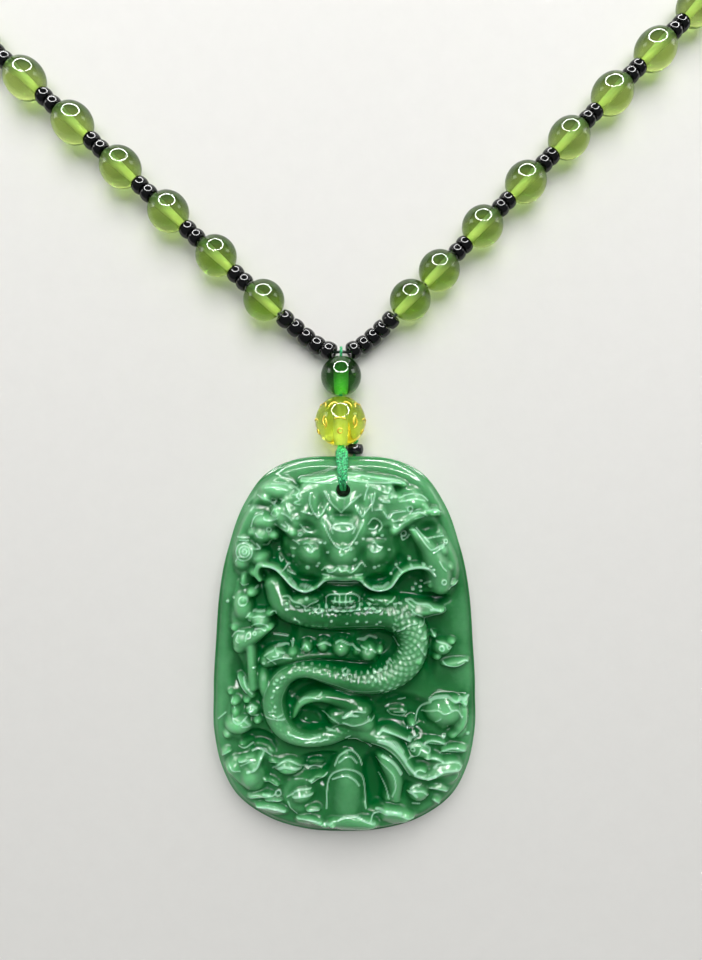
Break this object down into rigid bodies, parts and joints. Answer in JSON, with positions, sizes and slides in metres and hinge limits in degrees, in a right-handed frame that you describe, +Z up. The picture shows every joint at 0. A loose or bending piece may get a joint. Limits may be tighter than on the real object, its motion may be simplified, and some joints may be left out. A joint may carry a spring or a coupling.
{
  "type": "charm necklace",
  "caption": "Strand necklace of round glass beads with dark spacer beads between them, and a carved stone dragon pendant on a cord.",
  "frame": {"origin": "on the surface that the necklace lies on, under the middle of its whole length and width", "axes": "+Y from the pendant to the back of the neck, +X to the wearer's left as seen from the front, +Z up from the surface through the carved face"},
  "size_m": [0.1985, 0.3191, 0.013],
  "materials": {
    "jade": "polished green stone with darker recesses",
    "cord": "twisted silky cord",
    "thread": "fine dark thread",
    "black_glass": "glossy opaque black glass",
    "gold_glass": "clear yellow-green glass with gilt lines",
    "gilt": "thin gilt lines on glass",
    "dark_green_glass": "clear deep green glass",
    "green_glass": "clear green glass"
  },
  "bodies": {
    "root": {"pendant": "jade", "pendant_cord": "cord", "stopper_bead": "black_glass", "gold_bead": "gold_glass", "top_bead": "dark_green_glass", "green_beads_left": "green_glass", "green_beads_right": "green_glass", "black_beads_left": "black_glass", "black_beads_right": "black_glass", "thread": "thread"}
  },
  "joints": []
}
